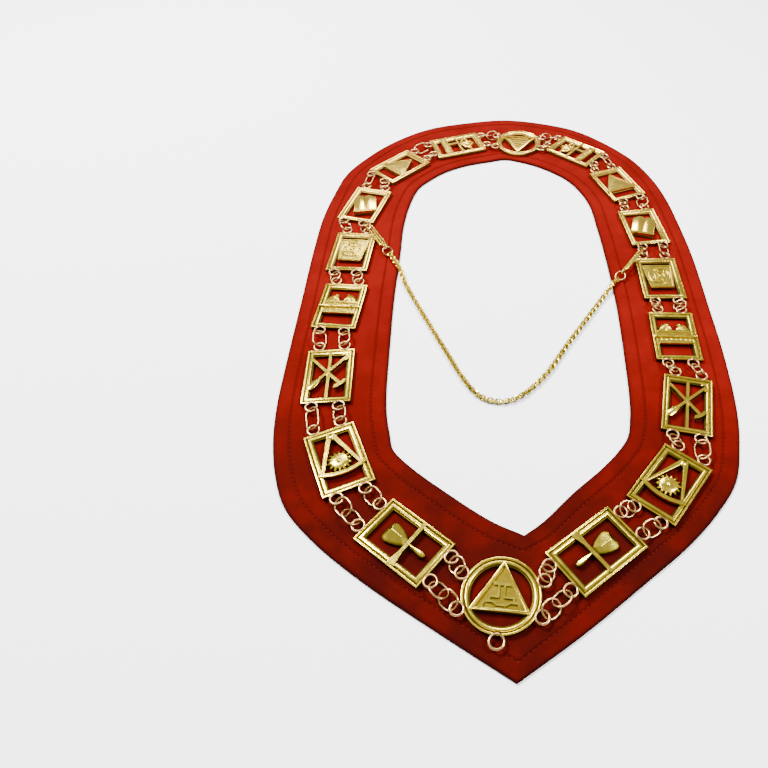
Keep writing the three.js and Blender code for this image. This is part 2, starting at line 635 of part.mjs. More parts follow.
// A snap hook is a long closed loop of wire with a small upright eye at its tail, and its end
// ring leads from that eye down to the cloth, towards the chain.
function snapHook(row, chainPoint) {
  const centre = ringCentres[`link_${row.gap}_inner`];
  const hooked = centre.clone().add(flat(...row.hooked));
  const tail = centre.clone().add(flat(...row.tail));
  const length = tail.distanceTo(hooked);
  const line = tail.clone().sub(hooked).normalize();
  const { level, upward } = squareTo(line);
  const loopSide = turnedBetween(level, upward, radians(row.roll));
  const wireLoop = longRing(length, HOOK_WIDTH, HOOK_WIRE);
  aimed(wireLoop, hooked.clone().lerp(tail, 0.5), line, loopSide);
  const eyeCentre = tail.clone().addScaledVector(line, HOOK_EYE_DIAMETER / 2);
  const eye = aimed(wireRing(HOOK_EYE_DIAMETER, HOOK_EYE_WIRE), eyeCentre, line, upward);
  const near = eyeCentre.clone().addScaledVector(line, END_RING_SEAT);
  const heading = flat(chainPoint.x - near.x, chainPoint.y - near.y).normalize();
  const low = PLATE_BASE + END_RING_WIRE / 2;
  const drop = Math.asin((near.z - low) / END_RING_DIAMETER);
  const ringLine = heading.clone().multiplyScalar(Math.cos(drop)).setZ(-Math.sin(drop));
  const ringCentre = near.clone().addScaledVector(ringLine, END_RING_DIAMETER / 2);
  const ring = wireRing(END_RING_DIAMETER, END_RING_WIRE);
  aimed(ring, ringCentre, ringLine, squareTo(ringLine).level);
  const chainGap = END_RING_DIAMETER / 2 + END_RING_WIRE / 2 + CLEARANCE;
  const chainEnd = ringCentre.clone().addScaledVector(ringLine, chainGap);
  chainEnd.z = PLATE_BASE + CHAIN_DIAMETER / 2;
  return { hook: fuse([wireLoop, eye]), ring, chainEnd };
}

const chainPoints = CHAIN_ROUTE.map((point) => flat(...point));
const chainEnds = HOOKS.map((row) => {
  const nearest = row.side === 'left' ? chainPoints[0] : chainPoints[chainPoints.length - 1];
  const { hook, ring, chainEnd } = snapHook(row, nearest);
  addMesh(`snap_hook_${row.side}`, hook, materials.gilt);
  addMesh(`end_ring_${row.side}`, ring, materials.roseGilt);
  return chainEnd;
});

function chainGeometry() {
  const points = [chainEnds[0], ...chainPoints, chainEnds[1]];
  const extrudePath = new THREE.CatmullRomCurve3(points, false, 'centripetal');
  const steps = Math.round(extrudePath.getLength() / CHAIN_STEP);
  const section = new THREE.Shape(Array.from({ length: CHAIN_SIDES }, (_, i) => {
    const spot = polar(CHAIN_DIAMETER / 2, (2 * Math.PI * i) / CHAIN_SIDES);
    return new THREE.Vector2(spot.x, spot.y);
  }));
  return new THREE.ExtrudeGeometry(section, { steps, extrudePath, bevelEnabled: false });
}

addMesh('chest_chain', chainGeometry(), materials.gilt);

// The origin is the middle of the collar's footprint on the surface it lies on.
const box = new THREE.Box3().setFromObject(collar);
const middle = box.getCenter(flat(0, 0));
collar.children.forEach((mesh) => mesh.position.add(flat(-middle.x, -middle.y)));

export default collar;
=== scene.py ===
import bpy
import numpy
from math import sin, cos, pi, radians, sqrt, hypot
from random import Random
from mathutils import Vector, Matrix, noise


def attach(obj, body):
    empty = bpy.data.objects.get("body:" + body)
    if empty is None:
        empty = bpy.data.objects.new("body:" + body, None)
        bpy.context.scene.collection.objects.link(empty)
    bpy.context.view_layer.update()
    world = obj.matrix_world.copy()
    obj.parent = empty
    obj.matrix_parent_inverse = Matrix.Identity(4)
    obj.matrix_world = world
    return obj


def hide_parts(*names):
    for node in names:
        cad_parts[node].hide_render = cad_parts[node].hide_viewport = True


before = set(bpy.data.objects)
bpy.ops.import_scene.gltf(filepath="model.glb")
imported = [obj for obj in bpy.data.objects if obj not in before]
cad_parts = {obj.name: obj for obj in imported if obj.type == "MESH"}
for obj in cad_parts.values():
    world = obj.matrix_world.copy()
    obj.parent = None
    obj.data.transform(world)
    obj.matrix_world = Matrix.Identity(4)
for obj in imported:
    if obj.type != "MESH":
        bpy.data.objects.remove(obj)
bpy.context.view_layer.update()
mm = 0.001

# camera, at the photograph's angle
view = {
    "lens": 30.81,
    "place": (-0.00223, -0.4432, 0.4001),
    "pitch": 49.23,
    "roll": 0.65,
    "shift": -0.151,
}


def makeCamera():
    data = bpy.data.cameras.new("viewCamera")
    data.lens = view["lens"]
    data.sensor_width = 36
    data.shift_x = view["shift"]
    data.clip_start = 0.01
    camera = bpy.data.objects.new("viewCamera", data)
    turn = Matrix.Rotation(radians(90 - view["pitch"]), 4, "X")
    roll = Matrix.Rotation(radians(view["roll"]), 4, "Z")
    camera.matrix_world = Matrix.Translation(view["place"]) @ turn @ roll
    bpy.context.scene.collection.objects.link(camera)
    bpy.context.scene.camera = camera


makeCamera()
print("camera placed")


class Wire:
    # an output socket of a finish, so that maths on it reads as a plain expression
    def __init__(self, finish, out):
        self.finish = finish
        self.out = out

    def maths(self, operation, first, second):
        return self.finish.node("ShaderNodeMath", {"operation": operation}, {0: first, 1: second})

    def __add__(self, other):
        return self.maths("ADD", self, other)

    def __radd__(self, other):
        return self.maths("ADD", other, self)

    def __sub__(self, other):
        return self.maths("SUBTRACT", self, other)

    def __rsub__(self, other):
        return self.maths("SUBTRACT", other, self)

    def __mul__(self, other):
        return self.maths("MULTIPLY", self, other)

    def __rmul__(self, other):
        return self.maths("MULTIPLY", other, self)

    def __pow__(self, other):
        return self.maths("POWER", self, other)

    def __rpow__(self, other):
        return self.maths("POWER", other, self)


class Finish:
    def __init__(self, name):
        self.material = bpy.data.materials.new(name)
        self.material.use_nodes = True
        self.tree = self.material.node_tree
        self.shader = self.tree.nodes["Principled BSDF"]

    def node(self, kind, settings=None, sockets=None, output=0):
        made = self.tree.nodes.new(kind)
        for key, value in (settings or {}).items():
            setattr(made, key, value)
        for key, value in (sockets or {}).items():
            self.feed(made.inputs[key], value)
        return Wire(self, made.outputs[output])

    def feed(self, socket, value):
        if isinstance(value, Wire):
            self.tree.links.new(value.out, socket)
        else:
            socket.default_value = value

    def set(self, **values):
        for key, value in values.items():
            self.feed(self.shader.inputs[key.replace("_", " ")], value)

    def place(self):
        return self.node("ShaderNodeTexCoord", output="Object")

    def axis(self, output):
        return self.node("ShaderNodeSeparateXYZ", {}, {0: self.place()}, output)

    def clouds(self, scale, detail=2.0, rough=0.5):
        sockets = {"Vector": self.place(), "Scale": scale, "Detail": detail, "Roughness": rough}
        return self.node("ShaderNodeTexNoise", {}, sockets, "Fac")

    def between(self, value, low, high):
        sockets = {"Value": value, "From Min": low, "From Max": high}
        return self.node("ShaderNodeMapRange", {"interpolation_type": "SMOOTHSTEP"}, sockets)

    def mix(self, factor, first, second):
        settings = {"data_type": "RGBA", "clamp_factor": True}
        return self.node("ShaderNodeMix", settings, {0: factor, 6: first, 7: second}, 2)

    def bump(self, height, distance, strength, normal=None):
        sockets = {"Height": height, "Distance": distance, "Strength": strength}
        if normal:
            sockets["Normal"] = normal
        return self.node("ShaderNodeBump", {}, sockets)


velvet = {
    "bright": (0.128, 0.0032, 0.0019, 1),
    "deep": (0.082, 0.0022, 0.0013, 1),
    # painted shade that darkens the cloth towards the front
    "front": (0.02, 0.0013, 0.0009, 1),
    # painted shade for the seam's groove, the rolled rim and the lining
    "edge": (0.012, 0.0008, 0.0008, 1),
    "sheen": (1.0, 0.1, 0.07, 1),
    "sheenWeight": 0.04,
    "sheenRoughness": 0.4,
    "roughness": 0.86,
    "specular": 0.015,
    # cloud scales of the brushed nap, its broad patches, the crushed pile and the single tufts
    "nap": 30,
    "patches": 7,
    "crush": 140,
    "tufts": 1500,
    # how far in front of the middle, in metres, the cloth starts and ends to darken with painted
    # shade
    "frontShadeReach": (0.02, 0.26),
}


def velvetFinish():
    finish = Finish("redVelvet")
    nap = finish.between(finish.clouds(velvet["nap"], 4, 0.6), 0.36, 0.66)
    patches = finish.between(finish.clouds(velvet["patches"], 1), 0.35, 0.65)
    colour = finish.mix(nap * 0.45 + patches * 0.4, velvet["deep"], velvet["bright"])
    # painted shade: the cloth darkens towards the front
    paintedFrontShade = finish.between(finish.axis("Y") * -1, *velvet["frontShadeReach"])
    colour = finish.mix(paintedFrontShade * (0.86 - nap * 0.22), colour, velvet["front"])
    # painted shade in the seam's groove, along the rolled rim and on the lining
    paintedEdgeShade = finish.node("ShaderNodeAttribute", {"attribute_name": "seam"}, {}, "Fac")
    colour = finish.mix(paintedEdgeShade, colour, velvet["edge"])
    tufts = finish.clouds(velvet["tufts"], 1)
    crush = finish.clouds(velvet["crush"], 3, 0.6)
    normal = finish.bump(crush, 0.0012, 0.35)
    normal = finish.bump(tufts, 0.0004, 0.5, normal)
    finish.set(Base_Color=colour, Roughness=velvet["roughness"], Normal=normal)
    finish.set(Sheen_Weight=velvet["sheenWeight"], Sheen_Roughness=velvet["sheenRoughness"])
    finish.set(Sheen_Tint=velvet["sheen"], Specular_IOR_Level=velvet["specular"])
    return finish.material


gold = {
    # the tops' painted highlight, the middle tone, and the beds' painted shade
    "giltTopHighlight": (0.8, 0.62, 0.06, 1),
    "giltMid": (0.52, 0.38, 0.025, 1),
    "giltBedShade": (0.03, 0.018, 0.002, 1),
    # colour of the painted light that warms the gilt towards the neck
    "giltNeckwardLight": (1.0, 0.64, 0.1, 1),
    "roseHigh": (0.54, 0.34, 0.12, 1),
    "roseLow": (0.2, 0.08, 0.03, 1),
    # lowest and highest metal that shows, in metres above the floor, between which the painted
    # shade of the beds gives way to the painted highlight of the tops
    "plateHeights": (0.0048, 0.0063),
    "chainHeights": (0.0002, 0.0042),
    # where the painted light that turns the gilt warmer towards the neck starts and ends
    "neckwardLightReach": (-0.04, 0.22),
}


def giltFinish(name, heights):
    # cast and polished: the beds stay rougher than the tops; the beds' darker colour is painted
    # shade and the tops' lighter colour a painted highlight
    finish = Finish(name)
    height = finish.between(finish.axis("Z"), *heights)
    stain = finish.between(finish.clouds(160, 3), 0.3, 0.7)
    # painted shade in the beds, and a painted highlight on the tops that the stain breaks up
    colour = finish.mix(height, gold["giltBedShade"], gold["giltMid"])
    colour = finish.mix(height ** 3 * (0.75 + stain * 0.25), colour, gold["giltTopHighlight"])
    # painted light: the gilt turns warmer towards the neck, most on the tops
    paintedNeckwardLight = finish.between(finish.axis("Y"), *gold["neckwardLightReach"])
    colour = finish.mix(paintedNeckwardLight * (0.2 + height * 0.4), colour, gold["giltNeckwardLight"])
    rough = 0.4 - height * 0.25 + stain * 0.06
    grain = finish.bump(finish.clouds(900, 2), 0.0003, 0.25)
    finish.set(Base_Color=colour, Metallic=1.0, Roughness=rough, Normal=grain)
    return finish.material


def roseFinish():
    finish = Finish("roseGilt")
    tarnish = finish.between(finish.clouds(220, 3), 0.42, 0.72)
    colour = finish.mix(tarnish * 0.6, gold["roseHigh"], gold["roseLow"])
    grain = finish.bump(finish.clouds(1100, 1), 0.0002, 0.2)
    rough = 0.2 + tarnish * 0.15
    finish.set(Base_Color=colour, Metallic=1.0, Roughness=rough, Normal=grain)
    return finish.material


thread = {
    "dark": (0.05, 0.002, 0.0015, 1),
    "light": (0.16, 0.008, 0.005, 1),
    "twist": 2600,
    "roughness": 0.7,
    "specular": 0.03,
}


def threadFinish():
    finish = Finish("redThread")
    twist = finish.clouds(thread["twist"], 1)
    colour = finish.mix(twist, thread["dark"], thread["light"])
    finish.set(Base_Color=colour, Normal=finish.bump(twist, 0.0002, 0.5))
    finish.set(Roughness=thread["roughness"], Specular_IOR_Level=thread["specular"])
    return finish.material


# each finish with the slot that it fills
finishes = {
    "velvet": (velvetFinish(), "velvet"),
    "plate": (giltFinish("platedGilt", gold["plateHeights"]), "gilt"),
    "chain": (giltFinish("chainGilt", gold["chainHeights"]), "gilt"),
    "rose": (roseFinish(), "rose_gilt"),
    "thread": (threadFinish(), "velvet"),
}
print("finishes made")


def onCircle(centre, radius, angle):
    return centre[0] + radius * cos(angle), centre[1] + radius * sin(angle)


class Casting:
    # points and faces in millimetres, until makePiece turns them into a piece
    def __init__(self):
        self.points = []
        self.faces = []

    def add(self, points, faces):
        base = len(self.points)
        self.points += [Vector(point) for point in points]
        self.faces += [[base + corner for corner in face] for face in faces]

    def loft(self, sections, closed=True, capped=False):
        size = len(sections[0])
        count = len(sections) if closed else len(sections) - 1
        faces = []
        for i in range(count):
            j = (i + 1) % len(sections)
            for k in range(size):
                m = (k + 1) % size
                faces.append([i * size + k, j * size + k, j * size + m, i * size + m])
        if capped:
            last = (len(sections) - 1) * size
            faces += [[last + k for k in range(size)], [size - 1 - k for k in range(size)]]
        self.add([point for section in sections for point in section], faces)

    def prism(self, outline, low, high):
        sections = [[(x, y, z) for x, y in outline] for z in (low, high)]
        self.loft(sections, closed=False, capped=True)

    def bar(self, start, end, widthStart, widthEnd, low, high):
        along = Vector((end[0] - start[0], end[1] - start[1])).normalized()
        side = Vector((-along.y, along.x))
        a, b = Vector(start), Vector(end)
        outline = [a - side * widthStart / 2, b - side * widthEnd / 2,
                   b + side * widthEnd / 2, a + side * widthStart / 2]
        self.prism(outline, low, high)

    def arc(self, centre, radius, width, begin, finish, low, high, steps=24):
        sections = []
        for i in range(steps + 1):
            a = radians(begin + (finish - begin) * i / steps)
            outer = onCircle(centre, radius + width / 2, a)
            inner = onCircle(centre, radius - width / 2, a)
            sections.append([(*outer, low), (*outer, high), (*inner, high), (*inner, low)])
        self.loft(sections, closed=False, capped=True)

    def ring(self, centre, radius, width, low, high, steps=40):
        profile = [(radius + width / 2, low), (radius + width / 2, high),
                   (radius - width / 2, high), (radius - width / 2, low)]
        self.lathe(centre, profile, steps)

    def lathe(self, centre, profile, steps=40):
        sections = []
        for i in range(steps):
            a = 2 * pi * i / steps
            sections.append([(*onCircle(centre, r, a), z) for r, z in profile])
        self.loft(sections)

    def dome(self, centre, halfX, halfY, low, high, turn=0, steps=20, rings=5):
        sections = []
        turned = Matrix.Rotation(radians(turn), 3, "Z")
        for i in range(rings + 1):
            rise = pi / 2 * i / rings
            wide = max(cos(rise), 0.02)
            height = low + (high - low) * sin(rise)
            loop = []
            for k in range(steps):
                a = 2 * pi * k / steps
                spot = turned @ Vector((halfX * wide * cos(a), halfY * wide * sin(a), height))
                loop.append(spot + Vector((centre[0], centre[1], 0)))
            sections.append(loop)
        self.loft(sections, closed=False, capped=True)

    def domes(self, centre, radius, count, halfX, halfY, low, high, offset=0, steps=12, rings=4):
        # domes in a circle, each pointing away from its centre
        for i in range(count):
            turn = 360 * (i + offset) / count
            spot = onCircle(centre, radius, radians(turn))
            self.dome(spot, halfX, halfY, low, high, turn, steps, rings)

    def rim(self, outline, width, low, high):
        for a, b in zip(outline, outline[1:] + outline[:1]):
            self.bar(a, b, width, width, low, high)

    def boss(self, outline, low, shoulder, peaks):
        # a faceted form that rises from its shoulder to a ridge of one or more peaks
        count = len(outline)
        points = [(x, y, z) for z in (low, shoulder) for x, y in outline] + peaks
        faces = [list(range(count - 1, -1, -1))]
        nearest = [min(range(len(peaks)), key=lambda k: hypot(x - peaks[k][0], y - peaks[k][1]))
                   for x, y in outline]
        for i in range(count):
            j = (i + 1) % count
            faces.append([i, j, count + j, count + i])
            faces.append([count + i, count + j, 2 * count + nearest[i]])
            if nearest[i] != nearest[j]:
                faces.append([count + j, 2 * count + nearest[j], 2 * count + nearest[i]])
        self.add(points, faces)

    def wire(self, path, radius, sides=10, closed=True):
        count = len(path)
        sections = []
        previous = None
        for i, point in enumerate(path):
            if closed:
                heading = (path[(i + 1) % count] - path[i - 1]).normalized()
            else:
                heading = (path[min(i + 1, count - 1)] - path[max(i - 1, 0)]).normalized()
            if previous is None:
                side = heading.orthogonal()
            else:
                side = previous - heading * previous.dot(heading)
            side.normalize()
            previous = side
            up = heading.cross(side)
            angles = [2 * pi * k / sides for k in range(sides)]
            sections.append([point + (side * cos(a) + up * sin(a)) * radius for a in angles])
        if closed:  # the last section is turned, so that its start meets the first one's
            last = sections[-1]
            turn = min(range(sides), key=lambda k: (last[k] - sections[0][0]).length)
            if turn:
                self.loft(sections, closed=False)
                self.loft([last[turn:] + last[:turn], sections[0]], closed=False)
                return
        self.loft(sections, closed=closed, capped=not closed)


def makePiece(name, casting, finish, nodes=(), matrix=Matrix.Identity(4), bevel=0, smooth=40):
    material, slot = finishes[finish]
    mesh = bpy.data.meshes.new(name)
    points = [(matrix @ point) * mm for point in casting.points]
    mesh.from_pydata([tuple(point) for point in points], [], casting.faces)
    mesh.validate()
    piece = bpy.data.objects.new(name, mesh)
    bpy.context.scene.collection.objects.link(piece)
    if bevel:
        rounding = piece.modifiers.new("rounding", "BEVEL")
        rounding.width = bevel * mm
        rounding.segments = 2
        rounding.limit_method = "ANGLE"
        rounding.angle_limit = radians(38)
        rounding.use_clamp_overlap = True
        ready = piece.evaluated_get(bpy.context.evaluated_depsgraph_get())
        rounded = bpy.data.meshes.new_from_object(ready)
        piece.modifiers.clear()
        piece.data = rounded
    piece.data.shade_smooth()
    piece.data.set_sharp_from_angle(angle=radians(smooth))
    piece.data.materials.clear()
    piece.data.materials.append(material)
    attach(piece, "root")
    if nodes:
        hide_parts(*nodes)
    return piece


band = {
    "halfWidth": 185.0,
    "halfLength": 327.0,
    "width": 84.0,
    "thick": 2.5,
    "centre": -0.328,
    "seamInset": 12.0,
    "stepsPerSection": 12,
    "stitch": 2.6,
    "stitchGap": 1.3,
    "stitchSink": 1.05,
    # size and height of the pile's broad crush and fine ripple
    "crush": (31, 0.128),
    "ripple": (9, 0.07),
    # how far the pile lies below the full thickness, and the most that it stands above it
    "settle": 0.12,
    "proud": 0.1,
    # depth and reach of the seam's groove and of the rolled edge, and the border's fall
    "groove": (0.75, 1.4),
    "roll": (1.25, 1.6),
    "fall": 0.22,
    # how far the lining's edges rise from the table
    "liningLift": 0.45,
    # darkness and reach of the painted shade in the groove and at the rim, and the inset whose
    # painted shade the lining takes
    "grooveShade": (0.45, 1.2),
    "rimShade": (0.95, 2.6),
    "liningShade": 0.5,
    # insets of the top's points from either edge, and of the lining's
    "topInsets": [
        0, 0.25, 0.7, 1.3, 2.2, 4, 6.5, 9, 10.6, 11.4, 12, 12.6, 13.4, 15, 18, 22, 27, 33, 39,
    ],
    "liningInsets": [0.3, 1.4, 30],
    # share of the stitch's length, half width and height of each section along it
    "stitchShape": [
        (-0.5, 0.05, 0.1), (-0.36, 0.2, 0.42), (0, 0.24, 0.52), (0.36, 0.2, 0.42), (0.5, 0.05, 0.1),
    ],
    # side, along, across, width, lean and the inner edge's slide of each section, from tip to neck
    "sections": [
        (0, -1, 90, 1.125, 0.054, 5.5), (0.243, -0.911, 110, 0.958, 0.035, 4.6),
        (0.486, -0.815, 123, 0.963, 0.008, 3.8), (0.676, -0.731, 133, 0.978, 0, 3.2),
        (0.805, -0.656, 142.5, 0.99, 0, 2.8), (0.889, -0.577, 153, 1.005, 0.016, 2.2),
        (0.938, -0.483, 163, 1, 0.018, 1.6), (0.966, -0.385, 172, 1, 0.02, 0.8),
        (0.982, -0.214, 178.5, 1, 0.019, 0), (0.987, 0, 180, 0.99, 0.009, 0),
        (0.99, 0.214, 183, 1.01, -0.004, 0), (0.978, 0.373, 187, 1.005, -0.018, 0),
        (0.951, 0.505, 190, 1, -0.022, 0), (0.905, 0.621, 197, 1.025, -0.03, 0),
        (0.811, 0.731, 210, 1.045, -0.024, 0), (0.664, 0.838, 226, 1.07, -0.024, 0),
        (0.476, 0.927, 239, 1.11, -0.015, 0), (0.243, 0.977, 254, 1.09, 0.005, 0),
        (0, 1, 270, 1.07, 0.005, 0),
    ],
}


def throughPoints(points, stepsEach):
    # a smooth open curve through the points, with knots spaced by the root of their distance
    padded = [points[0] * 2 - points[1], *points, points[-1] * 2 - points[-2]]
    curve = []
    for a, b, c, d in zip(padded, padded[1:], padded[2:], padded[3:]):
        t = [0.0]
        for p, q in ((a, b), (b, c), (c, d)):
            t.append(t[-1] + max(sqrt((q - p).length), 1e-4))
        for i in range(stepsEach):
            u = t[1] + (t[2] - t[1]) * i / stepsEach
            ab = a * ((t[1] - u) / (t[1] - t[0])) + b * ((u - t[0]) / (t[1] - t[0]))
            bc = b * ((t[2] - u) / (t[2] - t[1])) + c * ((u - t[1]) / (t[2] - t[1]))
            cd = c * ((t[3] - u) / (t[3] - t[2])) + d * ((u - t[2]) / (t[3] - t[2]))
            abc = ab * ((t[2] - u) / (t[2] - t[0])) + bc * ((u - t[0]) / (t[2] - t[0]))
            bcd = bc * ((t[3] - u) / (t[3] - t[1])) + cd * ((u - t[1]) / (t[3] - t[1]))
            curve.append(abc * ((t[2] - u) / (t[2] - t[1])) + bcd * ((u - t[1]) / (t[2] - t[1])))
    curve.append(points[-1].copy())
    return curve


def bandEdges():
    rows = [(row, 1) for row in band["sections"]] + [(row, -1) for row in band["sections"][-2::-1]]
    outer, inner = [], []
    for (side, along, across, width, lean, slide), mirror in rows:
        shift = Vector((lean * band["halfWidth"] + band["centre"], 0, 0))
        edge = Vector((side * band["halfWidth"], along * band["halfLength"], 0))
        angle = radians(across)
        far = edge + Vector((cos(angle), sin(angle), 0)) * width * band["width"]
        outer.append(Vector((mirror * edge.x, edge.y, 0)) + shift)
        inner.append(Vector((mirror * far.x + slide, far.y, 0)) + shift)
    steps = band["stepsPerSection"]
    return throughPoints(outer, steps)[:-1], throughPoints(inner, steps)[:-1]


def fading(amount, reach, distance):
    # the amount at no distance, and nothing from the reach on
    return amount * max(0.0, 1 - distance / reach)


def unevenness(spot, layer, size, height):
    return noise.noise(Vector((spot.x / size, spot.y / size, layer))) * height


def clothHeight(spot, inset):
    # crushed pile, a sewn groove and a rolled edge
    pile = unevenness(spot, 0, *band["crush"]) + unevenness(spot, 4, *band["ripple"])
    groove = fading(*band["groove"], abs(inset - band["seamInset"]))
    depth, reach = band["roll"]
    roll = depth * fading(1, reach, inset) ** 2
    fall = fading(band["fall"], band["seamInset"], inset)
    height = band["thick"] - band["settle"] + pile - groove - roll - fall
    return min(height, band["thick"] + band["proud"])


def makeBand():
    outer, inner = bandEdges()
    pile, lining = band["topInsets"], band["liningInsets"]
    sections, insets = [], []
    for a, b in zip(outer, inner):
        across = b - a
        width = across.length
        across.normalize()
        top = [(inset, inset) for inset in pile]
        top += [(width - inset, inset) for inset in reversed(pile)]
        under = [width - inset for inset in lining] + [width / 2] + lining[::-1]
        section = []
        for reach, inset in top:
            spot = a + across * reach
            spot.z = clothHeight(spot, inset)
            section.append(spot)
            insets.append(inset)
        for reach in under:
            spot = a + across * reach
            lift = band["liningLift"] if reach in (under[0], under[-1]) else 0.0
            section.append(Vector((spot.x, spot.y, lift)))
            insets.append(band["liningShade"])
        sections.append(section)
    casting = Casting()
    casting.loft(sections)
    piece = makePiece("velvetBand", casting, "velvet", ["velvet_band"])
    # painted shade for the seam's groove, the rolled rim and the lining, kept on each point
    seam = piece.data.attributes.new("seam", "FLOAT", "POINT")
    for i, inset in enumerate(insets):
        line = fading(*band["grooveShade"], abs(inset - band["seamInset"]))
        seam.data[i].value = max(line, fading(*band["rimShade"], inset))
    return piece, outer, inner


def evenSteps(path, pitch):
    # places at an even pitch along the path, each with the path's heading there
    spots, travelled, due = [], 0.0, 0.0
    for p, q in zip(path, path[1:]):
        length = (q - p).length
        heading = (q - p).normalized()
        while due < travelled + length:
            spots.append((p + heading * (due - travelled), heading))
            due += pitch
        travelled += length
    return spots


def stitchLine(casting, outer, inner, inset, fromOuter):
    path = []
    for a, b in zip(outer, inner):
        across = (b - a).normalized()
        path.append(a + across * inset if fromOuter else b - across * inset)
    path.append(path[0])
    base = band["thick"] - band["stitchSink"]
    for middle, heading in evenSteps(path, band["stitch"] + band["stitchGap"]):
        side = Vector((-heading.y, heading.x, 0))
        sections = []
        for reach, wide, high in band["stitchShape"]:
            centre = middle + heading * reach * band["stitch"]
            section = []
            for k in range(6):
                a = k * pi / 3
                lift = Vector((0, 0, base + high * (0.7 + 0.7 * sin(a))))
                section.append(centre + side * wide * cos(a) + lift)
            sections.append(section)
        casting.loft(sections, closed=False, capped=True)


def makeStitches(outer, inner):
    casting = Casting()
    stitchLine(casting, outer, inner, band["seamInset"], True)
    stitchLine(casting, outer, inner, band["seamInset"], False)
    makePiece("seamStitches", casting, "thread")


velvetBand, outerEdge, innerEdge = makeBand()
makeStitches(outerEdge, innerEdge)
print("velvet band sewn")


plate = {
    "halfWidth": 19.0,
    "halfLength": 28.0,
    "thick": 3.6,
    "frame": 6.0,
    # height of the castings' backs above the table
    "base": 2.8,
    # heights of the emblems' feet and tops above the back
    "bed": 1.2,
    "top": 4.4,
    "eyelet": 4.3,
    "eyeletWire": 0.85,
    "eyeletHeight": 3.35,
    "eyeletReach": 4.0,
    "eyeletSide": 10.3,
    "bevel": 0.2,
    # inset from the outer edge and height of the frame's moulding
    "moulding": [
        (0, 0), (0, 3.3), (0.18, 3.6), (1.0, 3.6), (1.25, 3.4), (1.4, 2.5), (1.9, 2.1), (2.35, 2.4),
        (2.6, 3.1), (3.0, 3.42), (3.9, 3.42), (4.5, 3.2), (4.8, 2.8), (4.95, 2.2), (5.8, 2.05),
        (6, 1.8), (6, 0),
    ],
    # emblem, side, centre as shares of the collar's half sizes, and turn in degrees
    "rows": [
        ("trowel", "left", -0.3437, -0.7349, 53), ("compass", "left", -0.6349, -0.5374, 25),
        ("tools", "left", -0.7506, -0.2939, 5), ("ark", "left", -0.7752, -0.0429, -3),
        ("keystone", "left", -0.7837, 0.1906, -2), ("book", "left", -0.7746, 0.4271, -13),
        ("triangle", "left", -0.623, 0.6527, -41.7), ("sun", "left", -0.2904, 0.7953, -69),
        ("sun", "right", 0.4396, 0.7637, 52), ("triangle", "right", 0.6583, 0.5625, 23),
        ("book", "right", 0.7557, 0.3284, 9), ("keystone", "right", 0.7824, 0.0871, 1.9),
        ("ark", "right", 0.7893, -0.1425, -0.8), ("tools", "right", 0.7757, -0.3718, -11.2),
        ("compass", "right", 0.6399, -0.5905, -37.2), ("trowel", "right", 0.3376, -0.7484, -51.6),
    ],
    # these keep their hand on both sides of the collar
    "keepHand": ("tools", "trowel"),
    # faces that meet at less than this many degrees shade as one
    "smooth": 40,
    "faceted": ("trowel", "triangle"),
    "facetSmooth": 14,
}
windowX = plate["halfWidth"] - plate["frame"]
windowY = plate["halfLength"] - plate["frame"]


def placeOnBand(side, along, turn):
    spot = (side * band["halfWidth"] + band["centre"], along * band["halfLength"], plate["base"])
    return Matrix.Translation(spot) @ Matrix.Rotation(radians(turn), 4, "Z")


def eyelet(casting, x, y, radius=plate["eyelet"], steps=28):
    path = [Vector((*onCircle((x, y), radius, 2 * pi * i / steps), plate["eyeletHeight"]))
            for i in range(steps)]
    casting.wire(path, plate["eyeletWire"])


def plateFrame(casting):
    sections = []
    for x, y in ((-1, -1), (1, -1), (1, 1), (-1, 1)):
        sections.append([(x * (plate["halfWidth"] - inset), y * (plate["halfLength"] - inset), z)
                         for inset, z in plate["moulding"]])
    casting.loft(sections)


def plateEyelets(casting):
    reach = plate["halfLength"] + plate["eyeletReach"]
    for x in (-1, 1):
        for y in (-1, 1):
            eyelet(casting, x * plate["eyeletSide"], y * reach)


def shares(points):
    return [(x * windowX, y * windowY) for x, y in points]


def trowelEmblem(casting, bed, top):
    # the cross bar's thick end and its long thin one
    casting.bar((-17.2, -4.1), (-7.8, -3.5), 5.4, 2.3, bed, top)
    casting.bar((-9, -3.5), (17.2, -3.1), 2.1, 2.3, bed, top - 0.07)
    half = [(3, -1), (5.2, 2.6), (6.9, 7.6), (7.7, 11.4), (7.2, 13.6), (5.6, 14.9), (2.2, 15.5)]
    blade = half + [(-x, y) for x, y in reversed(half)]
    casting.boss(blade, bed, bed + 0.9, [(0.6, 3, top + 0.9), (0.9, 11.8, top + 1.2)])
    # place and width of each section of the turned handle
    handle = [
        (-1.6, 1.8), (-4, 2.2), (-8, 3), (-11.5, 4.2), (-14, 4.9), (-16, 4.4), (-17.4, 3.2),
        (-18.2, 1.6),
    ]
    sections = []
    for y, wide in handle:
        rise = top - bed + wide * 0.04
        angles = [k * pi / 8 for k in range(9)]
        sections.append([(wide / 2 * cos(a), y, bed + rise * max(0, sin(a))) for a in angles])
    casting.loft(sections, closed=False, capped=True)


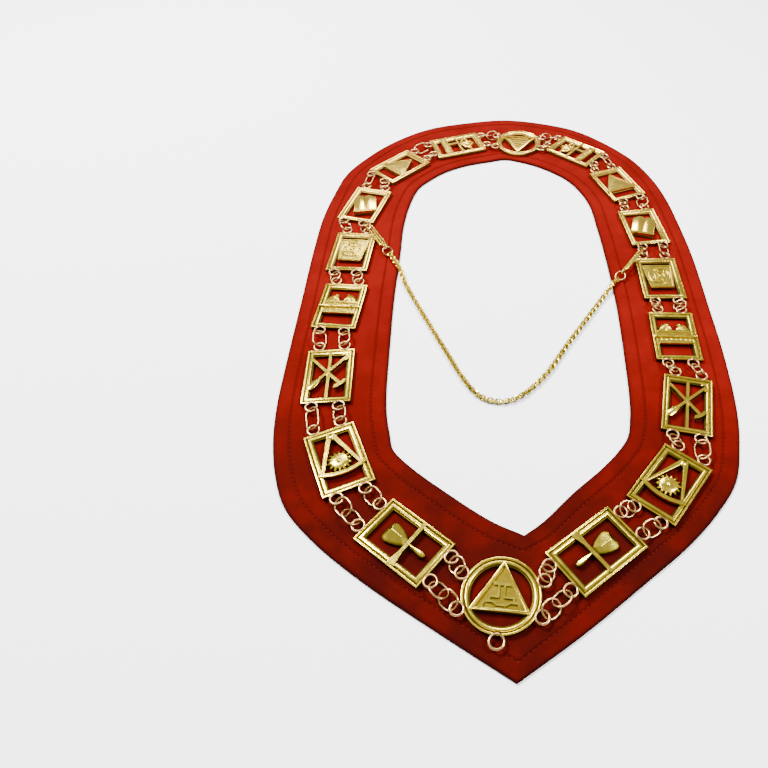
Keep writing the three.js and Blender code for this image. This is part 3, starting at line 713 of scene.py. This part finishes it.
def compassEmblem(casting, bed, top):
    ridge = (top - 0.3, top + 0.15)
    for side in (-1, 1):
        foot, ridgeFoot = side * (windowX + 0.6), side * (windowX + 0.3)
        casting.bar((side * 0.4, windowY + 1.3), (foot, -8.6), 3.6, 1.9, bed, top - 0.2)
        casting.bar((side * 0.4, windowY - 1), (ridgeFoot, -7.8), 1.1, 0.6, *ridge)
    casting.dome((0, windowY - 2.4), 2.5, 2.5, top - 0.4, top + 0.8)
    centre = (0, 1.1 * windowY)
    radius = 2.87 * windowX
    casting.arc(centre, radius, 2.9, 243, 297, bed, top - 0.1, 32)
    for step in (-1.1, 1.1):
        casting.arc(centre, radius + step, 0.5, 243.5, 296.5, *ridge, 32)
    # the sun: its plate, rays, a ring of bumps and the middle
    sun = (0, -2.2)
    casting.lathe(sun, [(0.2, 1.6), (6.4, 1.6), (6.4, 3.5), (5.8, 3.9), (0.2, 3.9)])
    casting.domes(sun, 6.7, 14, 2.8, 1.2, bed, top - 0.1)
    casting.domes(sun, 4.3, 11, 1.1, 0.8, bed, top + 0.25, offset=0.5, steps=10, rings=3)
    casting.dome(sun, 2.9, 2.9, bed, top + 0.5, rings=6)


def toolsEmblem(casting, bed, top):
    # the upright crowbar, then the pick's shaft and its curved head
    casting.bar((-0.2, 24.3), (-0.2, -24.3), 1.9, 1.9, bed, plate["thick"])
    casting.bar((-14.2, 17.4), (10, -10.2), 1.7, 2.4, bed, top)
    outer = [onCircle((0.9, 0.2), 15, radians(a)) for a in range(-74, -23, 5)]
    inner = [onCircle((1.3, 0.6), 12.6, radians(a)) for a in range(-70, -27, 5)]
    casting.prism(outer + inner[::-1], bed, top + 0.1)
    # the spade's shaft, grip and blade
    casting.bar((13.4, 18.6), (-6.6, -4.6), 1.9, 1.9, bed, top + 0.4)
    grip = [(9.4, 20.2), (12.4, 21.4), (15, 19.4), (14.4, 16.4), (12.2, 15.4)]
    casting.wire([Vector((x, y, top - 0.4)) for x, y in grip], 0.8, 8, closed=False)
    blade = [
        (-4.8, -3.2), (-6.4, -7), (-9, -11.4), (-12.6, -14.8), (-15.6, -14), (-15.6, -10.2),
        (-12, -6), (-7.8, -3),
    ]
    casting.boss(blade, bed, top - 0.7, [(-7.4, -6, top + 0.4), (-12.8, -11.6, top - 0.2)])


def arkEmblem(casting, bed, top):
    # the chest, its mouldings, beads, panels and carrying poles
    casting.prism([(-14.2, 4.3), (-14.2, -10.4), (14.2, -10.4), (14.2, 4.3)], 0.6, top - 0.7)
    for y, wide, rise in ((3.6, 1.8, 0), (0.4, 1, -0.15), (-9.6, 1.6, 0.05)):
        casting.bar((-14.4, y), (14.4, y), wide, wide, bed, top + rise)
    for i in range(9):
        casting.dome((-12 + 3 * i, 2), 1.2, 0.9, bed, top + 0.1, steps=10, rings=3)
    for i in range(7):
        casting.dome((-12 + 4 * i, -5.4), 1.5, 2.6, bed, top + 0.05, steps=12, rings=4)
    casting.wire([Vector((x, -2.2, top - 0.1)) for x in range(-18, 19, 2)], 1, closed=False)
    # a winged figure on each side of the lid: its body, head, feathers and base
    for side in (-1, 1):
        casting.dome((side * 3.5, 8.2), 1.5, 4.0, bed, top + 0.3, turn=side * -24)
        casting.dome((side * 5.1, 11.7), 1.4, 1.4, bed, top + 0.4)
        for k in range(7):
            lean = 12 + 12 * k
            turn = lean if side > 0 else 180 - lean
            middle = (side * (3.6 + 5 * cos(radians(lean))), 5 + 5.6 * sin(radians(lean)))
            high = top + 0.1 * (k % 2)
            casting.dome(middle, 5.2, 1.1, bed, high, turn, steps=14, rings=4)
        casting.bar((side * 1.6, 4.7), (side * 11.9, 4.7), 2.4, 2.4, bed, top - 0.5)


def keystoneEmblem(casting, bed, top):
    outline = shares([(-1.1, 0.8), (-0.82, -0.62), (0.82, -0.62), (1.1, 0.8)])
    casting.prism(outline, bed, plate["thick"] - 0.2)
    corners = shares([(-0.97, 0.74), (-0.76, -0.56), (0.76, -0.56), (0.97, 0.74)])
    casting.rim(corners, 1.1, bed, plate["thick"] + 0.25)
    centre = (0, 0.12 * windowY)
    casting.ring(centre, 9.9, 0.9, bed, plate["thick"] + 0.5)
    casting.ring(centre, 4.6, 0.8, bed, plate["thick"] + 0.45)
    casting.domes(centre, 7.2, 9, 1.45, 1.0, bed, top, offset=2.25)
    casting.dome(centre, 2.2, 2.2, bed, top + 0.1)


def bookEmblem(casting, bed, top):
    turn = Matrix.Rotation(radians(-22), 3, "Z")
    book = Casting()
    # the cover, the pages' thick lower edge and the open pages with the fold between them
    book.prism([(-11.2, -13.8), (11.2, -13.8), (11.2, 12.2), (-11.2, 12.2)], bed, bed + 1)
    book.bar((-11.4, -12.9), (11.4, -12.9), 2.6, 2.6, bed, top + 0.75)
    pageWidth, steps = 11, 40
    sections = []
    for i in range(steps + 1):
        x = -pageWidth + 2 * pageWidth * i / steps
        share = abs(x) / pageWidth
        high = top + 0.35 + 0.35 * sin(pi * min(1.0, share * 1.1)) - 0.5 * share ** 4
        high -= fading(0.9, 0.07, share)
        edge = 12.6 + 2 * sin(pi * min(1.0, share * 1.25)) - 0.9 * share
        page = [(-12, bed), (-12, high), (edge - 0.6, high), (edge, high - 0.7), (edge, bed)]
        sections.append([(x, y, z) for y, z in page])
    book.loft(sections, closed=False, capped=True)
    casting.add([turn @ point for point in book.points], book.faces)


def triangleEmblem(casting, bed, top):
    outline = [(0, 17.2), (-17.2, -11.9), (17.2, -11.9)]
    casting.boss(outline, bed, top - 0.9, [(0, -2.2, top + 0.5)])
    casting.rim(outline, 1.0, bed, top - 0.5)


def sunEmblem(casting, bed, top):
    # the foot with its mouldings and beads, then the post and the two cross bars
    casting.bar((-17.2, -13.4), (17.2, -13.4), 7.5, 7.5, bed, top - 0.5)
    for y in (-10.4, -16.4):
        casting.bar((-14, y), (14, y), 1.1, 1.1, bed, top)
    for i in range(5):
        casting.dome((-10 + 5 * i, -13.4), 1.7, 1.7, bed, top + 0.2, steps=14, rings=4)
    casting.bar((-17.2, 1.3), (17.2, 1.3), 2.4, 2.4, bed, top - 0.1)
    casting.bar((3.6, -12), (3.6, 1), 3, 3, bed, plate["thick"])
    casting.bar((-17.2, 12.3), (17.2, 12.3), 2.6, 2.6, bed, plate["thick"] - 0.3)
    casting.arc((0, 15), 10.5, 2, 196, 344, bed, top - 0.1, 28)
    sun = (0, 11.4)
    for tip, offset in ((8.2, 0), (7.0, 0.5)):  # long rays with short ones between them
        reach, half = tip * 0.6, tip * 0.42
        casting.domes(sun, reach, 7, half, 0.85, bed, top - 0.1, offset, steps=10)
    casting.dome(sun, 3.9, 3.9, bed, top + 0.5, rings=6)


emblems = {
    "trowel": trowelEmblem, "compass": compassEmblem, "tools": toolsEmblem, "ark": arkEmblem,
    "keystone": keystoneEmblem, "book": bookEmblem, "triangle": triangleEmblem, "sun": sunEmblem,
}


def makePlates():
    for emblem, side, across, along, turn in plate["rows"]:
        flip = -1 if side == "left" and emblem not in plate["keepHand"] else 1
        relief = Casting()
        emblems[emblem](relief, plate["bed"], plate["top"])
        casting = Casting()
        plateFrame(casting)
        points = [Vector((point.x * flip, point.y, point.z)) for point in relief.points]
        faces = relief.faces if flip > 0 else [face[::-1] for face in relief.faces]
        casting.add(points, faces)
        name = emblem + "Plate" + side.capitalize()
        node = emblem + "_plate_" + side
        place = placeOnBand(across, along, turn)
        smooth = plate["facetSmooth"] if emblem in plate["faceted"] else plate["smooth"]
        makePiece(name, casting, "plate", [node], place, plate["bevel"], smooth)
        loops = Casting()
        plateEyelets(loops)
        makePiece(name + "Eyelets", loops, "rose", matrix=place)


makePlates()
print("plates cast")


medallion = {
    "radius": 25.35,
    "eyeletAngle": 24,
    "eyeletReach": 3.4,
    "loopReach": 3.6,
    "loopRadius": 4.6,
    "triangleRadius": 22.05,
    "border": 1.5,
    # lowest and highest point of the triangle's field, foot of its border and of its marks
    "field": (1.0, 2.45),
    "borderFoot": 2.2,
    "markFoot": 2.0,
    # centre as shares of the collar's half sizes, and turn in degrees
    "front": (0.0022, -0.8437, -5.2),
    "top": (0.0897, 0.818, 176.1),
    # start, end and width of the thin raised lines that draw a T over a stepped base
    "frontLines": [
        ((-5.2, 7), (5.6, 7), 1.8), ((-1.7, 6.6), (-1.7, -1.9), 0.9),
        ((1.9, 6.6), (1.9, -1.9), 0.9), ((-7.6, -1.6), (-1.8, -1.6), 1.1),
        ((2, -1.6), (8.8, -1.6), 1.1), ((-7.2, -1.8), (-7.2, -4.8), 0.9),
        ((8.2, -1.8), (8.2, -4.8), 0.9), ((-9.4, -4.8), (-5.2, -4.8), 1),
        ((6, -4.8), (10.6, -4.8), 1), ((-4.8, -5), (-2.2, -6.9), 0.9),
        ((5.6, -5), (3, -6.9), 0.9), ((-2.6, -6.8), (3.4, -6.8), 0.9),
        ((-10.4, -5), (-11.8, -9.2), 0.9), ((11.2, -5), (12.6, -9.2), 0.9),
        ((-4.6, -9.2), (5.2, -9.2), 1.2),
    ],
    # place and half length of the neck medallion's bars
    "topBars": [(7.4, 3.4), (2.6, 5.4), (-2.2, 8), (-6.8, 10.6)],
}


def triangleCorners(radius):
    return [onCircle((0, 0), radius, radians(a)) for a in (90, 210, 330)]


def medallionBody(casting):
    profile = [(medallion["radius"] - inset, z) for inset, z in plate["moulding"]]
    casting.lathe((0, 0), profile, 96)
    outer = triangleCorners(medallion["triangleRadius"])
    inner = triangleCorners(medallion["triangleRadius"] - 2 * medallion["border"])
    casting.prism(outer, *medallion["field"])
    foot, top = medallion["borderFoot"], plate["top"]
    casting.loft([[(*a, foot), (*a, top), (*b, top), (*b, foot)] for a, b in zip(outer, inner)])


def medallionEyelets(casting, withLoop):
    for side in (-1, 1):
        for end in (-1, 1):
            a = radians(medallion["eyeletAngle"]) * end
            reach = medallion["radius"] + medallion["eyeletReach"]
            eyelet(casting, side * reach * cos(a), reach * sin(a))
    if withLoop:
        eyelet(casting, 0, -medallion["radius"] - medallion["loopReach"], medallion["loopRadius"])


def frontMarks(casting, foot):
    for i, (start, end, wide) in enumerate(medallion["frontLines"]):
        # neighbours differ a little in height, so that no two tops coincide
        casting.bar(start, end, wide, wide, foot, 3.55 + 0.03 * (i % 5))


def topMarks(casting, foot):
    for k, (y, half) in enumerate(medallion["topBars"]):
        casting.bar((-half, y), (half, y), 2, 2, foot, 3.2 + 0.05 * k)
        for i in (-1, 0, 1):
            casting.dome((half * 0.7 * i, y), 1.2, 0.8, foot, 3.8, steps=12, rings=3)


def makeMedallions():
    for label, marks in (("front", frontMarks), ("top", topMarks)):
        casting = Casting()
        medallionBody(casting)
        marks(casting, medallion["markFoot"])
        name = label + "Medallion"
        place = placeOnBand(*medallion[label])
        makePiece(name, casting, "plate", [label + "_medallion"], place, plate["bevel"])
        loops = Casting()
        medallionEyelets(loops, label == "front")
        makePiece(name + "Eyelets", loops, "rose", matrix=place)


makeMedallions()
print("medallions cast")


rings = {
    "wire": 0.7,
    "width": 11.0,
    "steps": 40,
    # a strand longer than this is two rings, if wire lies so near its middle and its line
    "single": 17.5,
    "nearMiddle": 2,
    "nearLine": 1.6,
}


def ringPath(centre, along, across, length, width, steps):
    # a round ring drawn out along one direction
    radius = width / 2
    stretch = (length - width) / 2
    path = []
    for i in range(steps):
        a = 2 * pi * (i + 0.5) / steps
        reach = radius * cos(a) + (stretch if cos(a) > 0 else -stretch)
        path.append(centre + along * reach + across * radius * sin(a))
    return path


def spread(points):
    # centre and two directions of a flat ring of points, the longer one first
    centre = sum(points, Vector()) / len(points)
    values = numpy.array([tuple(point - centre) for point in points])
    directions = numpy.linalg.svd(values, full_matrices=False)[2]
    return centre, [Vector(direction) for direction in directions[:2]]


def isDouble(points, centre, along):
    # two rings meet where wire lies near the middle of the strand, close to its line
    for point in points:
        reach = (point - centre).dot(along)
        aside = (point - centre - along * reach).length
        if abs(reach) < rings["nearMiddle"] and aside < rings["nearLine"]:
            return True
    return False


def makeRings():
    for name in sorted(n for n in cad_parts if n.startswith("link_")):
        points = [vertex.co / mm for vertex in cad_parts[name].data.vertices]
        centre, (along, across) = spread(points)
        groups = [points]
        length = 2 * max((point - centre).dot(along) for point in points)
        if length > rings["single"] and isDouble(points, centre, along):
            groups = [[p for p in points if (p - centre).dot(along) * side > 0] for side in (-1, 1)]
        casting = Casting()
        for group in groups:
            centre, (along, across) = spread(group)
            length = 2 * (max((point - centre).dot(along) for point in group) - rings["wire"])
            length = max(length, rings["width"])
            path = ringPath(centre, along, across, length, rings["width"], rings["steps"])
            casting.wire(path, rings["wire"])
        makePiece(name.replace("link_", "joiningRing_"), casting, "rose", [name])


makeRings()
print("rings joined")


hooks = {
    # widths along the wire's middle
    "width": 6.8,
    "eye": 4.6,
    "ring": 9.0,
    # radii of the wires
    "wire": 0.9,
    "arm": 1.1,
    "neck": 1.25,
    "knuckle": 1.098,
    "eyeWire": 0.6,
    "ringWire": 0.7,
    # hooked end, tail, the loop's side direction, eye, end ring's centre and the ring's line
    "left": [
        (-134.95, 102.26, 7.15), (-114.95, 69.56, 7.25), (0.7798, 0.4757, -0.4067),
        (-113.75, 67.59, 7.26), (-111.25, 63.63, 5.38), (0.4863, -0.7675, -0.4175),
    ],
    "right": [
        (132.39, 67.75, 7.75), (112.19, 36.65, 7.35), (0.5457, -0.3641, 0.7546),
        (110.93, 34.72, 7.33), (108.16, 30.96, 5.41), (-0.5440, -0.7238, -0.4243),
    ],
}
upright = Vector((0, 0, 1))


def makeHook(side):
    hooked, tail, across, eye, ring, ringLine = [Vector(value) for value in hooks[side]]
    line = (tail - hooked).normalized()
    length = (tail - hooked).length
    middle = (tail + hooked) / 2
    casting = Casting()
    casting.wire(ringPath(middle, line, across, length, hooks["width"], 48), hooks["wire"], 12)
    # the sprung arm's hinge, the arm itself and the neck that holds the eye
    hinge = middle + line * length * 0.2 + across * hooks["width"] / 2
    knuckle = [hinge + line * step for step in (-1.6, -0.8, 0.8, 1.6)]
    arm = [tail - line * 0.8, tail - line * 4, middle, middle - line * length * 0.2]
    neck = [tail + line * step for step in (-0.6, -0.1, 0.6)]
    for label, path in (("knuckle", knuckle), ("arm", arm), ("neck", neck)):
        casting.wire(path, hooks[label], 12, closed=False)
    upward = line.cross(upright.cross(line).normalized())
    casting.wire(ringPath(eye, line, upward, hooks["eye"], hooks["eye"], 24), hooks["eyeWire"])
    makePiece("snapHook" + side.capitalize(), casting, "plate", ["snap_hook_" + side])
    loop = Casting()
    across = upright.cross(ringLine).normalized()
    path = ringPath(ring, ringLine, across, hooks["ring"], hooks["ring"], 32)
    loop.wire(path, hooks["ringWire"])
    makePiece("endRing" + side.capitalize(), loop, "rose", ["end_ring_" + side])


for side in ("left", "right"):
    makeHook(side)
print("hooks bent")


chain = {
    "pitch": 3.3,
    "length": 5.4,
    "width": 3.8,
    "wire": 0.46,
    # half the distance between the two links of a pair
    "pair": 0.5,
    "seed": 7,
    # how many degrees a pair can turn either way
    "sway": 7,
    "route": [
        (-108.24, 59.41, 4.95), (-104.5, 53.5, 4.95), (-97.5, 41, 4.95), (-91, 23, 2.8),
        (-83, 6, 2.3), (-68, -24, 2.2), (-48.5, -62, 2.2), (-28, -100, 2.2), (-15, -114.5, 2.2),
        (0, -118, 2.2), (14, -112.5, 2.2), (34.5, -90, 2.2), (56, -53, 2.2), (84, -6, 2.3),
        (92.5, 8, 2.8), (99.5, 19, 4.95), (105.49, 26.98, 4.95),
    ],
}


def makeChain():
    chance = Random(chain["seed"])
    shift = Vector((band["centre"], 0, 0))
    route = throughPoints([Vector(point) + shift for point in chain["route"]], 16)
    casting = Casting()
    for i, (spot, heading) in enumerate(evenSteps(route, chain["pitch"])):
        level = upright.cross(heading).normalized()
        upward = heading.cross(level)
        roll = radians(45 + 90 * (i % 2) + chance.uniform(-chain["sway"], chain["sway"]))
        across = level * cos(roll) + upward * sin(roll)
        normal = heading.cross(across)
        for side in (-1, 1):
            centre = spot + normal * chain["pair"] * side
            path = ringPath(centre, heading, across, chain["length"], chain["width"], 14)
            casting.wire(path, chain["wire"], 6)
    makePiece("chestChain", casting, "chain", ["chest_chain"])


makeChain()
print("chain linked")


studio = {
    "floorHalf": 4.0,
    "floorHeight": -0.0002,
    "floorColour": (0.97, 0.97, 0.97, 1),
    "sky": (1, 1, 1, 1),
    "skyStrength": 0.5,
    # place, size and power of each lamp, which all aim at the middle of the collar
    "lamps": [
        ((-0.9, 0.5, 1.5), 0.5, 108), ((0.9, -0.2, 1.3), 0.35, 42), ((-0.1, 1.5, 1.5), 0.7, 52),
    ],
}


def makeFloor():
    mesh = bpy.data.meshes.new("paleFloor")
    half, height = studio["floorHalf"], studio["floorHeight"]
    corners = [(x * half, y * half, height) for x, y in ((-1, -1), (1, -1), (1, 1), (-1, 1))]
    mesh.from_pydata(corners, [], [(0, 1, 2, 3)])
    floor = bpy.data.objects.new("paleFloor", mesh)
    bpy.context.scene.collection.objects.link(floor)
    finish = Finish("paleGround")
    finish.set(Base_Color=studio["floorColour"], Roughness=0.9, Specular_IOR_Level=0.1)
    mesh.materials.append(finish.material)


def makeSky():
    world = bpy.data.worlds.new("studio")
    world.use_nodes = True
    background = world.node_tree.nodes["Background"]
    background.inputs["Color"].default_value = studio["sky"]
    background.inputs["Strength"].default_value = studio["skyStrength"]
    bpy.context.scene.world = world


def makeLamps():
    for i, (place, size, power) in enumerate(studio["lamps"]):
        data = bpy.data.lights.new(f"softbox{i}", "AREA")
        data.size = size
        data.energy = power
        lamp = bpy.data.objects.new(f"softbox{i}", data)
        lamp.location = place
        lamp.rotation_euler = (-Vector(place)).to_track_quat("-Z", "Y").to_euler()
        bpy.context.scene.collection.objects.link(lamp)


makeFloor()
makeSky()
makeLamps()
bpy.context.view_layer.update()
print("scene ready")
